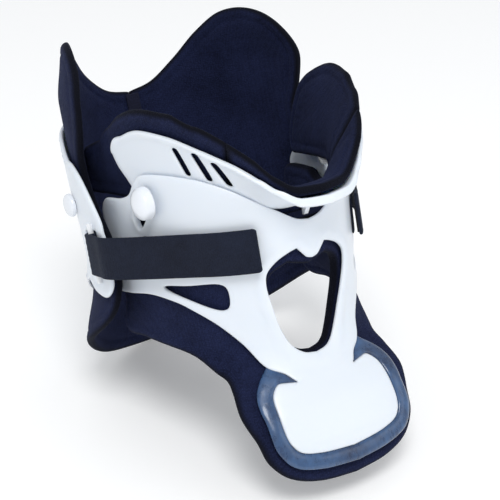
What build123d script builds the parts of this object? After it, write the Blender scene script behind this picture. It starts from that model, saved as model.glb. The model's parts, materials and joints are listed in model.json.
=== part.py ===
# Two-piece cervical collar: a front half that reaches from the jaw to the chest, with a tilting
# chin support, and a back half with two tall head lobes, held together by two side straps.
# Modelled upright around the neck's own axis (+Z up the neck, the face towards -Y, the wearer's
# right towards -X), then leaned back so that it stands on its chest pad and its back pad.
from build123d import *
import os
from math import acos, atan2, cos, degrees, hypot, radians, sin, sqrt

# Overall sizes, mm
neck_half_width = 63.0       # neck axis to the outside of the front shell, at the side
neck_half_depth = 91.0       # neck axis to the outside of the front shell, at the throat
collar_height = 238.0        # chest pad tip to the top of the head lobes, along the neck
lean_angle = 17.0            # how far the neck axis leans back when the collar stands

# Walls and layers, mm
shell_wall = 2.2
pad_gap = 1.1                # room between a shell and its pad for the hook dots
jaw_pad_gap = 1.4            # chin support to the jaw pads
front_pad_thick = 8.0
jaw_pad_thick = 6.5
back_pad_thick = 6.5
back_side_gap = 11.8         # front shell's outside to back shell's outside, at the side
nest_gap = 0.8               # chin support's skirt inside the front shell
seam_gap = 1.0               # between pads that meet

# Chin support and its pivots, mm and degrees
skirt_depth = 9.0
pivot_ahead = 38.0           # pivot axis ahead of the neck axis
pivot_height = 135.5
rivet_radius = 2.8
rivet_clear = 0.05
rivet_head_radius = 8.4
rivet_head_rise = 8.0
washer_radius = 5.5
washer_thick = 1.2
ear_radius = 9.5
chin_slot_width = 3.0
rib_half_width = 1.2

# Straps, mm
strap_width = 23.0
strap_thick = 2.0
strap_height = 107.5         # strap's middle, up the neck
patch_thick = 1.0
hook_thick = 0.9
hook_length = 34.0
short_hook_length = 10.0     # on the left strap, which ends sooner
bar_radius = 1.6
bar_clear = 0.08
bar_behind = 3.0             # strap bar behind the neck axis
knuckle_length = 4.0
slot_clear = 1.0             # room round a strap in its slot
strap_end = 64.5             # degrees round from the side to the right strap's end
short_strap_end = 52.0       # the left strap's end
patch_beyond = 1.3           # degrees of loop patch past a strap's end
straight_run = 18.0          # strap's straight run ahead of its bar

# Soft edge and small fittings, mm
edge_lip = 0.8               # soft edge stands this proud of the shell
dot_radius = 9.0
dot_thick = 1.0
button_radius = 6.5
button_rise = 3.5
button_post_radius = 2.0
button_stand_off = 2.0
button_behind = 30.0         # back buttons behind the neck axis
button_height = 131.0
tape_half_width = 4.5
tape_thick = 1.0

# The outlines below are drawn for a collar of these sizes and stretched to the ones above.
stretch_x = neck_half_width / 63.0
stretch_y = neck_half_depth / 91.0
stretch_z = collar_height / 238.0
reach = 400.0                # longer than any part of the collar

# How far the walls flare from the neck's own oval: (height, sideways, frontways or backways)
front_flare = [(-40, 87, 19), (-20, 85, 16), (0, 80, 12.5), (20, 68, 5.5), (34, 42, -3),
               (44, 18, -9), (52, 9, -10.5), (60, 5, -9.5), (77, 1, -4.5), (95, 0, 0),
               (112, 0, 2), (125, 0, 4.5), (141, 1, 12), (165, 3, 17)]
front_heights = [-38, -20, -4, 10, 22, 34, 43, 52, 64, 80, 96, 112, 125, 140, 158]
front_angles = [side * a for side in (-1, 1) for a in (116, 108, 99, 90, 80, 70, 60, 50, 40, 30, 20, 10)] + [0]
front_angles.sort()
back_flare = [(0, 30, 11), (20, 24, 6), (45, 17, 0), (62, 11, -3), (76, 5, -4), (90, 1.5, -4.6),
              (100, 0, -5), (150, 2, -1), (185, 2, 1), (205, -3, 0), (240, -13, -5)]
back_heights = [8, 24, 40, 54, 66, 80, 100, 125, 150, 175, 195, 210, 226]
back_angles = [side * a for side in (-1, 1) for a in (104, 97, 90, 78, 66, 54, 42, 30, 20, 10)] + [0]
back_angles.sort()

# Chin support by angle around the neck from the chin: (angle, rim radius, rim height,
# shell edge height, pad height past the rim)
chin_sections = [(0, 116, 130, 126, -2), (6.8, 114, 131, 126, -1.5), (12, 110.5, 137, 127, 2),
                 (18.7, 105.3, 148, 134, 7), (24.5, 99.5, 155.5, 140, 9),
                 (31, 94.2, 162, 144.5, 10), (42, 85.5, 170, 148.5, 10), (55, 77.9, 173.7, 150, 9),
                 (67, 71.5, 170, 147, 10), (78, 66.5, 163, 141, 12)]
jaw_tail = [(91, 62.5, 160, 141, 12), (103, 63, 155, 141, 11), (113, 65, 151, 141, 10)]
long_tail = [(122, 65, 148, 140, 9), (131, 65, 145, 139, 8)]
straight_wall_turn = 113     # past this angle the jaw pads turn inwards, away from the wall


def monotone(pairs, at):
    """Smooth value at a height between measured ones, with no overshoot."""
    pairs = sorted(pairs)
    at = min(max(at, pairs[0][0]), pairs[-1][0])
    steps = [(b[0] - a[0], (b[1] - a[1]) / (b[0] - a[0])) for a, b in zip(pairs, pairs[1:])]
    slopes = [steps[0][1]]
    for (gap_a, rise_a), (gap_b, rise_b) in zip(steps, steps[1:]):
        flat = rise_a * rise_b <= 0
        weight_a, weight_b = 2 * gap_b + gap_a, gap_b + 2 * gap_a
        slopes.append(0 if flat else (weight_a + weight_b) / (weight_a / rise_a + weight_b / rise_b))
    slopes.append(steps[-1][1])
    for index, (gap, rise) in enumerate(steps):
        if at <= pairs[index + 1][0] + 1e-9:
            t = (at - pairs[index][0]) / gap
            return (pairs[index][1] * (1 + 2 * t) * (1 - t) ** 2 + slopes[index] * gap * t * (1 - t) ** 2
                    + pairs[index + 1][1] * t * t * (3 - 2 * t) + slopes[index + 1] * gap * t * t * (t - 1))


def front_half_axes(height):
    drawn = height / stretch_z
    return (neck_half_width + monotone([(h, w) for h, w, d in front_flare], drawn),
            neck_half_depth + monotone([(h, d) for h, w, d in front_flare], drawn))


def back_half_axes(height):
    drawn = height / stretch_z
    return (neck_half_width + back_side_gap + monotone([(h, w) for h, w, d in back_flare], drawn),
            neck_half_depth + monotone([(h, d) for h, w, d in back_flare], drawn))


def polar_radius(axes, angle, height, offset):
    """Distance from the neck axis to a wall at an angle round from its middle."""
    wide, deep = (size + offset for size in axes(height))
    turn = radians(abs(angle))
    if abs(angle) > 90:
        return wide / sin(turn)
    return 1 / sqrt((sin(turn) / wide) ** 2 + (cos(turn) / deep) ** 2)


def wall(outer, inner, facing):
    """Layer of the front (facing -1) or back (facing 1) wall between two outward offsets."""
    axes, heights, angles = (front_half_axes, front_heights, front_angles)
    if facing > 0:
        axes, heights, angles = back_half_axes, back_heights, back_angles
    slices = []
    for angle in angles:
        turn = radians(angle)
        lines = []
        for offset in (outer, inner):
            places = [(polar_radius(axes, angle, h * stretch_z, offset), h * stretch_z) for h in heights]
            lines.append(Spline(*[(r * sin(turn), facing * r * cos(turn), z) for r, z in places]))
        ends = [Line(lines[0] @ end, lines[1] @ end) for end in (0, 1)]
        slices.append(make_face([*lines, *ends]))
    return loft(slices)


def side_prism(points, smooth=False):
    """Prism through the whole collar from an outline of (ahead-behind, height) points."""
    placed = [(0, y * stretch_y, z * stretch_z) for y, z in points]
    edge = Spline(*placed, periodic=True) if smooth else Polyline(*placed, close=True)
    return extrude(make_face(edge), reach, dir=(1, 0, 0), both=True)


def front_prism(points, behind=0.0):
    """Prism forward of the neck axis from an outline of (sideways, height) points, mirrored."""
    right = [(x * stretch_x, behind, z * stretch_z) for x, z in points]
    left = [(-x, y, z) for x, y, z in reversed(right) if abs(x) > 1e-9]
    return extrude(make_face(Polyline(*right, *left, close=True)), reach, dir=(0, -1, 0))


def mirrored(shape):
    return mirror(shape, about=Plane.YZ)


def both_sides(shape):
    return shape + mirrored(shape)


def chin_line(section, low_height):
    """The chin support's outside at one angle as (radius, height) points, from low to rim."""
    angle, rim_radius, rim_height, edge_height, past = section
    offset = -(shell_wall + nest_gap)
    low = low_height * stretch_z
    top = (edge_height - 0.5) * stretch_z
    wide_stretch = stretch_x * sin(radians(angle)) ** 2 + stretch_y * cos(radians(angle)) ** 2
    rim = (rim_radius * wide_stretch, rim_height * stretch_z)
    shoulder = (polar_radius(front_half_axes, angle, top, offset), top)
    if angle > straight_wall_turn:
        shoulder = (rim[0], top)
    foot = (min(polar_radius(front_half_axes, angle, low, offset), shoulder[0]), low)
    return [foot, shoulder, rim]


def shifted(line, distance, beyond=0.0):
    """A line of (radius, height) points moved inwards by a distance along its normals."""
    runs = [(b[0] - a[0], b[1] - a[1]) for a, b in zip(line, line[1:])]
    normals = [(-dz / hypot(dr, dz), dr / hypot(dr, dz)) for dr, dz in runs]
    joints = [normals[0]]
    for a, b in zip(normals, normals[1:]):
        mid = (a[0] + b[0], a[1] + b[1])
        size = (mid[0] ** 2 + mid[1] ** 2) / 2
        joints.append((mid[0] / size, mid[1] / size))
    joints.append(normals[-1])
    moved = [(r + n[0] * distance, z + n[1] * distance) for (r, z), n in zip(line, joints)]
    last = hypot(*runs[-1])
    moved[-1] = (moved[-1][0] + runs[-1][0] / last * beyond, moved[-1][1] + runs[-1][1] / last * beyond)
    return moved


def slice_face(angle, line_a, line_b):
    """Closed slice between two lines, standing in the plane at an angle round from the chin."""
    turn = radians(angle)
    ring = [(r * sin(turn), -r * cos(turn), z) for r, z in [*line_a, *reversed(line_b)]]
    return make_face(Polyline(*ring, close=True))


def swept_slices(sections, low_of, inner, outer, past_of):
    """Loft of slices round one stretch of the jaw."""
    faces = []
    for section in sections:
        line = chin_line(section, low_of(section))
        past = past_of(section)
        faces.append(slice_face(section[0], shifted(line, inner, past), shifted(line, outer, past)))
    return loft(faces)


def mirrored_sections(sections):
    return [(-a, *rest) for a, *rest in reversed(sections) if a > 0] + sections


# ---- chin support ---------------------------------------------------------------------------
pivot_y = -pivot_ahead * stretch_y
pivot_z = pivot_height * stretch_z


def wall_side_x(y, height, offset):
    wide, deep = (size + offset for size in front_half_axes(height))
    return wide * sqrt(1 - (min(y, 0) / deep) ** 2)


def pivot_cylinder(radius, inner_x, outer_x):
    """Cylinder about the pivot axis on the +X side."""
    return Pos(inner_x, pivot_y, pivot_z) * Rot(0, 90, 0) * Cylinder(
        radius, outer_x - inner_x, align=(Align.CENTER, Align.CENTER, Align.MIN))


head_base_x = wall_side_x(pivot_y + rivet_head_radius, pivot_z, 0) + 0.2
ear_offset = -(shell_wall + nest_gap)
washer_x = wall_side_x(pivot_y - ear_radius * 0.7, pivot_z, ear_offset - shell_wall) - 0.4


def skirt_low(section):
    angle, edge_height = section[0], section[3]
    return edge_height - (1 if abs(angle) < 13 else skirt_depth)


def make_chin_support():
    body = swept_slices(mirrored_sections(chin_sections), skirt_low, 0, shell_wall, lambda s: 0)
    rear_end = side_prism([(-160, 90), (-27, 90), (-21, 140), (-18, 150), (-14.5, 157), (-15, 163),
                           (-21, 170), (-36, 179), (-160, 190)])
    body = body & rear_end
    ear_ring = wall(ear_offset, ear_offset - shell_wall, -1) & pivot_cylinder(ear_radius, 1, reach)
    ear_neck = wall(ear_offset, ear_offset - shell_wall, -1) & Pos(0, pivot_y, pivot_z + ear_radius) * Box(
        2 * reach, 1.6 * ear_radius, 2 * ear_radius, align=(Align.MIN, Align.CENTER, Align.CENTER))
    ear_boss = pivot_cylinder(washer_radius, washer_x, reach) & wall(ear_offset - 0.3, ear_offset - 20, -1)
    ear = ear_ring + ear_neck + ear_boss
    hole = pivot_cylinder(rivet_radius + rivet_clear, 1, reach)
    rib_lines = [[(91.2, 119.6), (97, 127.5)], [(89.4, 119.6), (90.5, 128)]]
    rib = slice_face(0, *[[(r * stretch_y, z * stretch_z) for r, z in line] for line in rib_lines])
    body = body + both_sides(ear)
    body = body + extrude(rib, rib_half_width, dir=(1, 0, 0), both=True)
    for slot in ([(-51.8, -62.2, 162.7), (-49.8, -66, 149.5)], [(-46.6, -71.6, 159.6), (-43.6, -76.4, 146)],
                 [(-41.3, -79.5, 153.8), (-37.2, -84.6, 142.5)]):
        top, bottom = (Vector(x * stretch_x, y * stretch_y, z * stretch_z) for x, y, z in slot)
        run = top - bottom
        out = Vector(top.X, top.Y, 0).normalized()
        frame = Plane(origin=bottom + run / 2, x_dir=out, z_dir=run.normalized())
        cutter = frame * Box(24, chin_slot_width, run.length + chin_slot_width)
        cutter = fillet(cutter.edges().filter_by(Axis(frame.origin, frame.x_dir)), chin_slot_width * 0.49)
        body = body - both_sides(cutter)
    return body - both_sides(hole)


# The right jaw pad reaches further back than the left one: (ahead-behind, height) round its tail.
right_tail_outline = [(36, 100), (38, 134), (43, 143), (44, 150), (41, 157), (34, 163), (22, 168), (8, 174)]
left_tail_outline = [(1, 100), (1.5, 134), (0, 143), (-3, 155), (-8, 167), (-16, 177)]


def make_jaw_pad(tail_sections, tail_outline):
    sections = [s for s in chin_sections if s[0] > 25] + tail_sections
    near = shell_wall + jaw_pad_gap
    far = near + jaw_pad_thick
    along_wall = [s for s in sections if s[0] <= straight_wall_turn]
    pad = swept_slices(along_wall, lambda s: 128 if s[0] < 35 else 133, near, far, lambda s: s[4])
    turned_in = [along_wall[-1], *[s for s in sections if s[0] > straight_wall_turn]]
    if len(turned_in) > 1:
        pad = pad + swept_slices(turned_in, lambda s: 133, near, far, lambda s: s[4])
    tail = side_prism([(-160, 100), *tail_outline, (-30, 195), (-160, 200)])
    recess = pivot_cylinder(washer_radius + 2, washer_x - washer_thick - 1.0, reach)
    return (pad & tail) - recess


def make_chin_pad():
    middle = [s for s in chin_sections if s[0] < 19]
    edge = (23.5, 100.2, 154.4, 139.2, 8.7)
    near = shell_wall + pad_gap
    return swept_slices(mirrored_sections([*middle, edge]), lambda s: 119.5 if abs(s[0]) < 15 else 124, near,
                        near + jaw_pad_thick, lambda s: s[4])


# ---- front shell, soft edge and pad -----------------------------------------------------------
plate_outline = [(0, -3), (20, -1.2), (30, 1.5), (34.5, 7), (35.3, 22), (33, 31), (28.5, 34.8), (24, 34.6),
                 (18, 33.6)]
edge_outline = [(0, -11), (22, -9), (35, -5), (42, 4), (43, 20), (41, 32), (35, 38.5), (29.5, 43)]
pad_outline = [(0, -19), (22, -17), (37, -12), (46.5, -2), (50, 12), (49.5, 38)]
throat_opening = [(0, 44), (6, 46), (10, 51), (14, 59), (22, 78), (24.5, 87), (24, 93), (19.5, 98.5),
                  (12, 102.5), (8.5, 103.5), (5.5, 100), (3, 97.5), (0, 96.7)]
side_opening = [(-34, 88.5), (-50, 89.7), (-66.5, 90), (-68.8, 87.5), (-67.6, 77.5), (-65, 75.8), (-50, 81.5)]
keyhole = [(-30, 130), (-26, 131.5), (-24.5, 128), (-26.5, 122.5), (-29.4, 126)]


def make_front_shell():
    front_view = front_prism([*plate_outline, (22, 38), (29.5, 43), (37, 57), (45, 68), (53, 77), (100, 78),
                              (100, 160), (60, 150.5), (49, 147), (39, 141), (31, 135), (22, 128.5),
                              (17, 125.4), (7, 119), (0, 117.4)], behind=60 * stretch_y)
    side_view = side_prism([(-200, -30), (-70, -30), (-66, 40), (-55, 74), (-42, 80), (-24, 83.5), (0, 82),
                            (14, 82), (15.5, 84), (15.5, 125), (13, 131), (8, 134), (-11, 135.8), (-20, 138.5),
                            (-27, 145.5), (-33, 149), (-43, 150), (-200, 160)])
    shell = wall(0, -shell_wall, -1) & front_view & side_view
    shell = shell - front_prism(throat_opening) - side_prism(side_opening) - side_prism(keyhole)
    boss = pivot_cylinder(rivet_head_radius - 1.2, 1, head_base_x) & wall(6, -shell_wall / 2, -1)
    shell = shell + both_sides(boss)
    return shell - both_sides(pivot_cylinder(rivet_radius, 1, reach))


def make_soft_edge():
    """Soft rim round the chest plate; it grips the plate's border and stands a little proud."""
    plate = front_prism([*plate_outline, (22, 38), (29.5, 43), (29.5, 60), (0, 60)])
    outer = front_prism([*edge_outline, (0, 43)])
    shell_side = front_prism([(0, 30), (18, 33.6), (22, 38), (29.5, 43), (37, 57), (0, 57)])
    return (wall(edge_lip, -shell_wall, -1) & outer) - plate - shell_side


def make_front_pad():
    front_view = front_prism([*pad_outline, (56, 50), (100, 50), (100, 190), (0, 190)], behind=60 * stretch_y)
    side_view = side_prism([(-200, -60), (-74, -60), (-72, 20), (-62, 39), (-40, 53), (-10, 58), (10, 58),
                            (13, 61), (13, 125.5), (-20, 126), (-23.5, 121.5), (-44.5, 121.5), (-48, 130),
                            (-53, 129), (-62, 123), (-72, 118.5), (-93, 117.5), (-200, 117.5)])
    near = -(shell_wall + pad_gap)
    pad = wall(near, near - front_pad_thick, -1) & front_view & side_view
    gullet = [(x * 0.8 if x else 0, 71 + (z - 71) * 0.86) for x, z in throat_opening]
    return pad - front_prism(gullet[:9] + [(0, 98.5)])


def make_front_dots():
    near = -(shell_wall + 0.1)
    layer = wall(near, near - dot_thick, -1)
    forward = [Pos(x * stretch_x, 0, z * stretch_z) * Rot(90, 0, 0) * Cylinder(
        dot_radius, reach, align=(Align.CENTER, Align.CENTER, Align.MIN)) for x, z in [(24, 12)]]
    sideways = [Pos(0, y * stretch_y, z * stretch_z) * Rot(0, 90, 0) * Cylinder(
        dot_radius, reach, align=(Align.CENTER, Align.CENTER, Align.MIN)) for y, z in [(-6, 106), (-62, 110)]]
    dots = [layer & cutter for cutter in [*forward, *sideways]]
    return Compound([*[s for d in dots for s in d.solids()], *[s for d in dots for s in mirrored(d).solids()]])


# ---- pivots -----------------------------------------------------------------------------------
def make_rivet():
    shank = pivot_cylinder(rivet_radius, washer_x - washer_thick, head_base_x)
    disc = Pos(head_base_x, pivot_y, pivot_z) * Rot(0, 90, 0) * Cylinder(
        rivet_head_radius, rivet_head_rise, align=(Align.CENTER, Align.CENTER, Align.MIN))
    rim = disc.edges().filter_by(GeomType.CIRCLE).sort_by(Axis.X)[-1]
    return shank + fillet(rim, rivet_head_rise * 0.7)


def make_washer():
    ring = pivot_cylinder(washer_radius, washer_x - washer_thick, washer_x - 0.1)
    return ring - pivot_cylinder(rivet_radius, 1, reach)


# ---- straps -----------------------------------------------------------------------------------
strap_low = strap_height * stretch_z - strap_width / 2
strap_top = strap_height * stretch_z + strap_width / 2
shell_out_x = max(back_half_axes(strap_low)[0], back_half_axes(strap_top)[0])
bar_x = shell_out_x + bar_radius
bar_y = bar_behind * stretch_y
loop_inner = bar_radius + bar_clear
wrap_axes = [max(front_half_axes(strap_low)[i], front_half_axes(strap_top)[i]) + patch_thick + hook_thick + 0.6
             for i in (0, 1)]


def wrap_point(turn, offset=0.0):
    """A point on the oval that the strap lies along; turn is zero at the side."""
    return Vector((wrap_axes[0] + offset) * cos(turn), -(wrap_axes[1] + offset) * sin(turn), strap_low)


def tangent_turn(x, y, offset):
    """Where the oval is touched by a straight line from a point outside it."""
    u, v = x / (wrap_axes[0] + offset), -y / (wrap_axes[1] + offset)
    return atan2(v, u) + acos(1 / hypot(u, v))


def strap_outline(inner, outer, end_turn, start_turn=None):
    """Band round the front between two offsets, from the straight run or from start_turn on."""
    lines = []
    for offset, radius in ((inner, loop_inner), (outer, loop_inner + strap_thick)):
        start = tangent_turn(bar_x + radius, bar_y - straight_run, offset) if start_turn is None else start_turn
        turns = [start + (end_turn - start) * i / 10 for i in range(11)]
        lines.append(Spline(*[wrap_point(t, offset) for t in turns]))
    if start_turn is not None:
        return [*lines, Line(lines[0] @ 0, lines[1] @ 0), Line(lines[0] @ 1, lines[1] @ 1)]
    corners = [Vector(bar_x + loop_inner, bar_y, strap_low),
               Vector(bar_x + loop_inner + strap_thick, bar_y, strap_low)]
    bends = [corner - Vector(0, straight_run, 0) for corner in corners]
    return [*lines, Line(lines[0] @ 1, lines[1] @ 1), Line(lines[0] @ 0, bends[0]), Line(bends[0], corners[0]),
            Line(corners[0], corners[1]), Line(corners[1], bends[1]), Line(bends[1], lines[1] @ 0)]


def make_strap(end):
    band = extrude(make_face(strap_outline(0, strap_thick, radians(end))), strap_width, dir=(0, 0, 1))
    bottom = Align.CENTER, Align.CENTER, Align.MIN
    ring = Pos(bar_x, bar_y, strap_low) * (Cylinder(loop_inner + strap_thick, strap_width, align=bottom)
                                           - Cylinder(loop_inner, strap_width, align=bottom))
    return band + ring


def make_hook(end, length):
    """Hook tape on the strap's inside, set in a little from the strap's end and borders."""
    inset = 1.5
    last = radians(end) - inset / wrap_axes[1]
    outline = strap_outline(-hook_thick, 0, last, last - length / wrap_axes[1])
    return Pos(0, 0, inset) * extrude(make_face(outline), strap_width - 2 * inset, dir=(0, 0, 1))


def make_patch(end):
    """Loop pile bonded to the front shell under the strap."""
    layer = wall(patch_thick, 0, -1)
    tall = Pos(0, 0, strap_low - 1) * Box(2 * reach, 2 * reach, strap_width + 1.5,
                                         align=(Align.MIN, Align.CENTER, Align.MIN))
    last = wrap_point(radians(end + patch_beyond))
    round_to_last = degrees(atan2(last.Y, last.X))
    behind_last = Rot(0, 0, round_to_last) * Box(reach, reach, 2 * reach, align=(Align.MIN, Align.MIN, Align.CENTER))
    length = 60 * stretch_y
    ahead = Pos(0, last.Y + length, 0) * Box(2 * reach, 2 * reach, 2 * reach,
                                             align=(Align.MIN, Align.MAX, Align.CENTER))
    return layer & tall & behind_last & ahead


def make_bar():
    total = strap_width + 2 * knuckle_length + 2
    return Pos(bar_x, bar_y, strap_low - knuckle_length - 1) * Cylinder(
        bar_radius, total, align=(Align.CENTER, Align.CENTER, Align.MIN))


# ---- back half --------------------------------------------------------------------------------
back_shell_outline = [(26, 156), (9, 151), (-1, 137), (-9, 118), (-10, 95), (-6, 85), (6, 83), (28, 89),
                      (60, 72), (104, 58), (130, 58), (130, 168), (88, 166), (70, 172), (46, 168)]
lobe_outline = [(130, 177), (88, 180), (80, 193), (68, 207), (52, 216), (34, 217), (18, 211), (7, 200),
                (3, 187), (8, 170), (14, 157), (12, 143), (3, 125), (-5, 108), (-7, 88), (-4, 76), (3, 68),
                (40, 50), (70, 34), (94, 24), (130, 24)]


def make_back_shell():
    shell = wall(0, -shell_wall, 1) & side_prism(back_shell_outline)
    slot_low = strap_low - slot_clear
    slot_height = strap_width + 2 * slot_clear
    slot = Pos(bar_x, bar_y, slot_low) * Box(14, 2 * (loop_inner + strap_thick + slot_clear), slot_height,
                                             align=(Align.CENTER, Align.CENTER, Align.MIN))
    knuckle = Pos(bar_x, bar_y, slot_low - knuckle_length) * Cylinder(
        bar_radius + 1.6, knuckle_length, align=(Align.CENTER, Align.CENTER, Align.MIN))
    upper = Pos(0, 0, slot_height + knuckle_length) * knuckle
    knuckles = (knuckle + upper) & wall(10, -shell_wall / 2, 1)
    shell = shell - both_sides(slot)
    shell = shell + both_sides(knuckles)
    shell = shell - both_sides(make_bar())
    for angle in (-32, -16, 0, 16, 32):
        vent = Rot(0, 0, -angle) * Pos(0, 0, 112 * stretch_z) * Rot(-90, 0, 0) * extrude(
            SlotOverall(42 * stretch_z, 7, rotation=90), reach)
        shell = shell - vent
    seat = Pos(0, button_behind * stretch_y, button_height * stretch_z) * Rot(0, 90, 0) * Cylinder(
        button_post_radius, 2 * reach)
    return shell - seat


def make_back_button():
    y, z = button_behind * stretch_y, button_height * stretch_z
    wide, deep = back_half_axes(z)
    x = wide * sqrt(1 - (y / deep) ** 2)
    post = Pos(x - shell_wall - 0.8, y, z) * Rot(0, 90, 0) * Cylinder(
        button_post_radius, shell_wall + button_stand_off + 1, align=(Align.CENTER, Align.CENTER, Align.MIN))
    cap = Pos(x + button_stand_off, y, z) * Rot(0, 90, 0) * Cylinder(
        button_radius, button_rise, align=(Align.CENTER, Align.CENTER, Align.MIN))
    cap = fillet(cap.edges().filter_by(GeomType.CIRCLE).sort_by(Axis.X)[-1], button_rise * 0.6)
    return cap + post


def make_back_pad():
    near = -(shell_wall + pad_gap)
    pad = wall(near, near - back_pad_thick, 1) & side_prism(lobe_outline)
    half = Pos(seam_gap / 2, 0, 0) * Box(reach, 2 * reach, 2 * reach, align=(Align.MIN, Align.CENTER, Align.CENTER))
    return pad & half


def make_back_tape():
    near = -(shell_wall + pad_gap + back_pad_thick + 0.1)
    strip = wall(near, near - tape_thick, 1) & side_prism([(50, 25), (130, 25), (130, 176), (50, 176)])
    return strip & Box(2 * tape_half_width, 2 * reach, 2 * reach)


def make_back_dots():
    near = -(shell_wall + 0.1)
    layer = wall(near, near - dot_thick, 1)
    cutters = [Rot(0, 0, -angle) * Pos(0, 0, z * stretch_z) * Rot(-90, 0, 0) * Cylinder(
        dot_radius, reach, align=(Align.CENTER, Align.CENTER, Align.MIN))
        for angle, z in ((24, 152), (24, 78), (58, 145))]
    dots = [layer & cutter for cutter in cutters]
    return Compound([*[s for d in dots for s in d.solids()], *[s for d in dots for s in mirrored(d).solids()]])


def side_pair(name, shape):
    """The wearer's right is at -X, so a shape made on +X is the left one."""
    return {name + "_left": shape, name + "_right": mirrored(shape)}


nodes = {
    "front_shell": make_front_shell(),
    "chest_soft_edge": make_soft_edge(),
    "front_pad": make_front_pad(),
    "front_hook_dots": make_front_dots(),
    "chin_support": make_chin_support(),
    "chin_pad": make_chin_pad(),
    "jaw_pad_left": make_jaw_pad(jaw_tail[:2], left_tail_outline),
    "jaw_pad_right": mirrored(make_jaw_pad(jaw_tail + long_tail, right_tail_outline)),
    **side_pair("chin_rivet", make_rivet()),
    **side_pair("rivet_washer", make_washer()),
    "loop_patch_left": make_patch(short_strap_end),
    "loop_patch_right": mirrored(make_patch(strap_end)),
    "back_shell": make_back_shell(),
    **side_pair("back_pad", make_back_pad()),
    "back_seam_tape": make_back_tape(),
    "back_hook_dots": make_back_dots(),
    **side_pair("back_button", make_back_button()),
    **side_pair("strap_bar", make_bar()),
    "strap_left": make_strap(short_strap_end),
    "strap_right": mirrored(make_strap(strap_end)),
    "strap_hook_left": make_hook(short_strap_end, short_hook_length),
    "strap_hook_right": mirrored(make_hook(strap_end, hook_length)),
}

# Lean the collar back, then stand it on the ground with its middle over the origin.
leaned = {name: Rot(-lean_angle, 0, 0) * shape for name, shape in nodes.items()}
box = Compound([s for shape in leaned.values() for s in shape.solids()]).bounding_box()
stand = Pos(-box.center().X, -box.center().Y, -box.min.Z)
print("stand shift", -box.center().X, -box.center().Y, -box.min.Z)

os.makedirs("parts", exist_ok=True)
for name, shape in leaned.items():
    placed = stand * shape
    export_step(placed, os.path.join("parts", name + ".step"))
    print(name, len(placed.solids()), round(placed.volume))
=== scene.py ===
# Cervical collar: white moulded shells, navy knit-faced foam pads, a blue soft chest edge and
# two side straps. Shapes are drawn in millimetres round the neck's own axis, then set down
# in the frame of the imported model.
import json
import math
import bpy
import bmesh
import numpy as np
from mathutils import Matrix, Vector, geometry


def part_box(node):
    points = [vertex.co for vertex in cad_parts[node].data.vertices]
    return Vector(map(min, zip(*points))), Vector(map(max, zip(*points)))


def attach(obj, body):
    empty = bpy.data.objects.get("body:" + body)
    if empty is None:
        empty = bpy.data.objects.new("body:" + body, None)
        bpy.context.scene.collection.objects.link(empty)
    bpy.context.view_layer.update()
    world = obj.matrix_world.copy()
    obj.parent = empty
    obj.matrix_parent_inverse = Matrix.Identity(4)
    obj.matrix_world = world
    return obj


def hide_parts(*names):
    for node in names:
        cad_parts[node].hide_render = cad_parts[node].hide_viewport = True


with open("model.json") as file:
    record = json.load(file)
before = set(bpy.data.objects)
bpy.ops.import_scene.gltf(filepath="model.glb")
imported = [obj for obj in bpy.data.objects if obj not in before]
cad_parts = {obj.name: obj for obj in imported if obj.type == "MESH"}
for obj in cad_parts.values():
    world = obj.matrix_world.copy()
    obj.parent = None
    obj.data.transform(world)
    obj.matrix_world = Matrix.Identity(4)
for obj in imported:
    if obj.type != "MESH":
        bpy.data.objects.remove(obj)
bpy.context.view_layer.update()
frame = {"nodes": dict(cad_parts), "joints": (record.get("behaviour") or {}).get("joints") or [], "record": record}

joints = {j["name"]: j for j in frame["joints"]}
neckUp = np.array(joints["strap_left_peel"]["axis"], float)
neckAhead = np.array(joints["front_release"]["axis"], float)
pivot = {"ahead": 38.0, "height": 135.5}      # chin pivot in the neck's frame, mm
pivotAt = np.array(joints["chin_tilt"]["pos_m"], float)
neckOrigin = pivotAt - (neckAhead * pivot["ahead"] + neckUp * pivot["height"]) / 1000
barAt = np.array(joints["strap_left_peel"]["pos_m"], float)


def toRow(points):
    # millimetres round the neck axis to metres in the row's frame
    p = np.asarray(points, float) / 1000
    side = np.array([1.0, 0.0, 0.0])
    return neckOrigin + p[..., :1] * side - p[..., 1:2] * neckAhead + p[..., 2:3] * neckUp


def fromRow(point):
    p = (np.asarray(point, float) - neckOrigin) * 1000
    return np.array([p[0], -p @ neckAhead, p @ neckUp])


collar = {
    "halfWidth": 63.0, "halfDepth": 91.0, "wall": 2.2, "padGap": 1.1, "frontPad": 8.0,
    "jawPad": 6.5, "backPad": 6.5, "backGap": 11.8, "nest": 0.8, "turnRadius": 78.0,
    "frontFlare": [(-40, 87, 19), (-20, 85, 16), (0, 80, 12.5), (20, 68, 5.5), (34, 42, -3),
                   (44, 18, -9), (52, 9, -10.5), (60, 5, -9.5), (77, 1, -4.5), (95, 0, 0),
                   (112, 0, 2), (125, 0, 4.5), (141, 1, 12), (165, 3, 17)],
    "jawGap": 1.4,
    "backFlare": [(0, 30, 11), (20, 24, 6), (45, 17, 0), (62, 11, -3), (76, 5, -4), (90, 1.5, -4.6),
                  (100, 0, -5), (150, 2, -1), (185, 2, 1), (205, -3, 0), (240, -13, -5)],
    "chinSections": [(0, 116, 130, 126, -2), (6.8, 114, 131, 126, -1.5), (12, 110.5, 137, 127, 2),
                     (18.7, 105.3, 148, 134, 7), (24.5, 99.5, 155.5, 140, 9),
                     (31, 94.2, 162, 144.5, 10), (42, 85.5, 170, 148.5, 10), (55, 77.9, 173.7, 150, 9),
                     (67, 71.5, 170, 147, 10), (78, 66.5, 163, 141, 12), (91, 62.5, 160, 141, 12),
                     (103, 63, 155, 141, 11), (113, 68, 151, 141, 10), (122, 72, 148, 140, 9),
                     (131, 74, 145, 139, 8)],
}


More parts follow.
